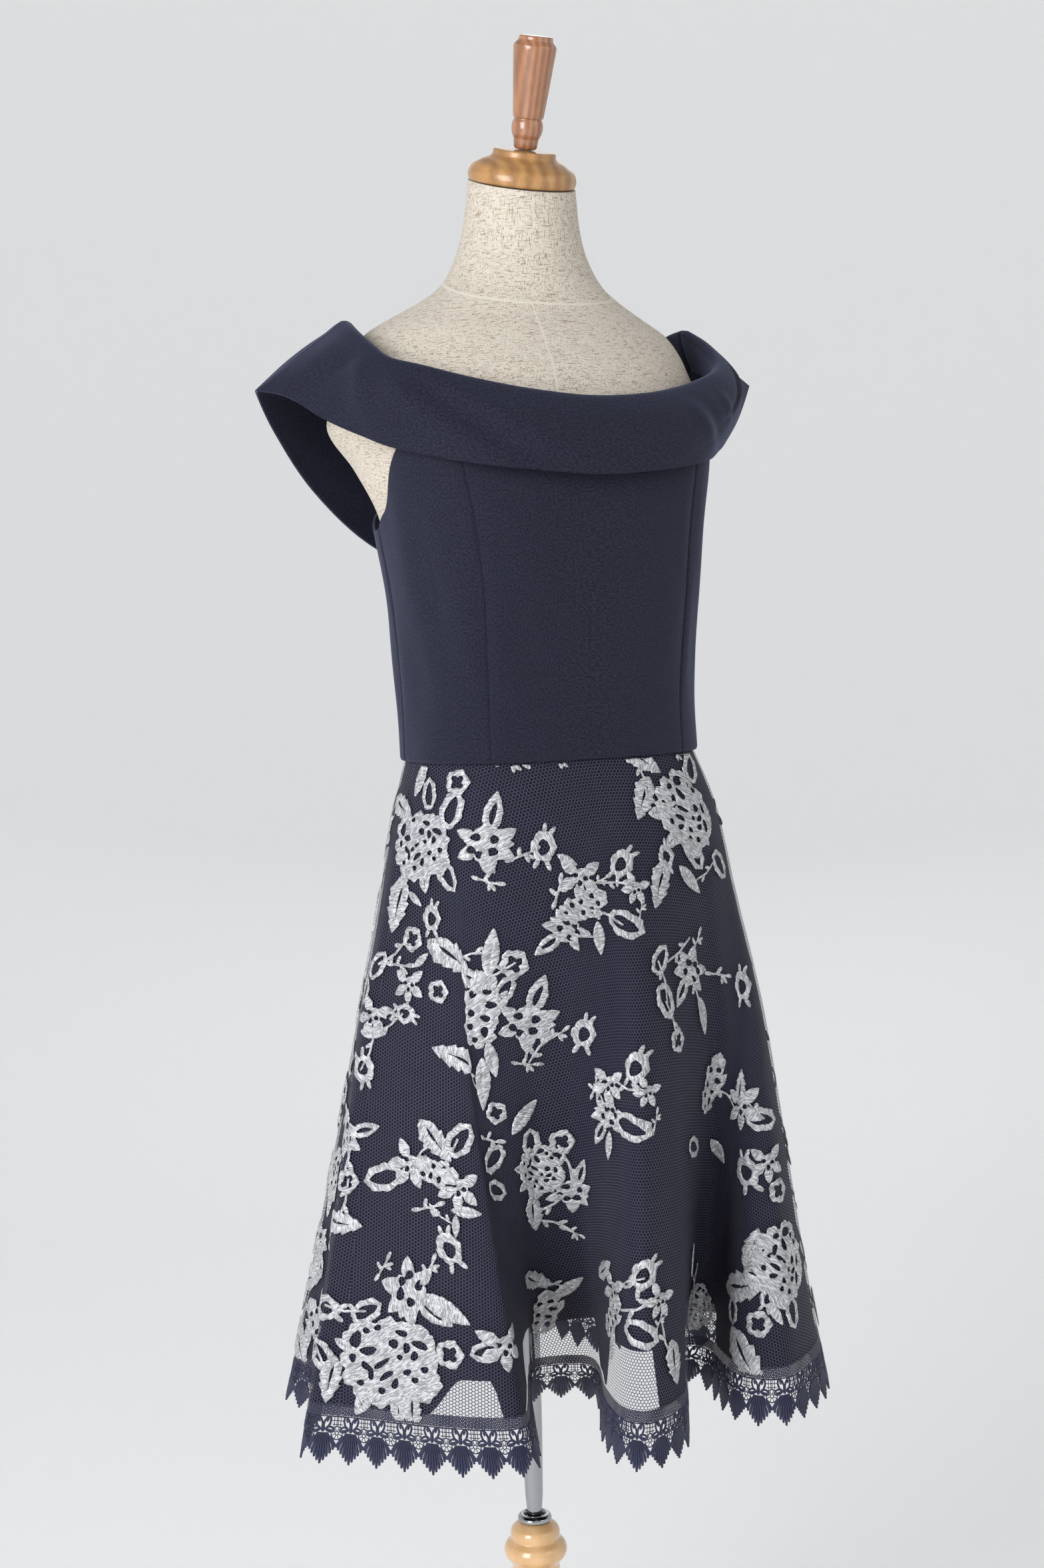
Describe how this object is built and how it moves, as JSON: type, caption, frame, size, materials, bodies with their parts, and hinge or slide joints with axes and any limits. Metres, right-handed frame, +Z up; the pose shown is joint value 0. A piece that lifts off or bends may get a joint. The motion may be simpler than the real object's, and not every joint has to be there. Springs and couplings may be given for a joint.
{
  "type": "off-shoulder dress on a dress form",
  "caption": "Knee-length off-shoulder dress with a folded collar and a flared lace-edged net skirt, worn on a limbless padded dress form with a turned stand.",
  "frame": {"origin": "on the floor at the centre of the stand's base, under the pole", "axes": "+Z up; the dress faces -Y; the wearer's left is +X"},
  "size_m": [0.4729, 0.369, 1.5979],
  "materials": {
    "crepe": "matt",
    "net": "matt",
    "lining": "matt",
    "lace": "matt",
    "linen": "matt",
    "oak": "satin varnish",
    "red_brown_wood": "gloss varnish",
    "chrome": "polished",
    "beech": "gloss varnish"
  },
  "bodies": {
    "root": {"bodice_front": "crepe", "bodice_side_front_right": "crepe", "bodice_side_front_left": "crepe", "bodice_back_left": "crepe", "bodice_back_right": "crepe", "collar_front": "crepe", "collar_back": "crepe", "skirt_front": "net", "skirt_back": "net", "lining_front": "lining", "lining_back": "lining", "lace_trim_front": "lace", "lace_trim_back": "lace", "form_torso": "linen", "neck_cap": "oak", "finial": "red_brown_wood", "pole": "chrome", "pole_ferrule": "chrome", "stand_post": "beech", "stand_base": "beech"}
  },
  "joints": []
}
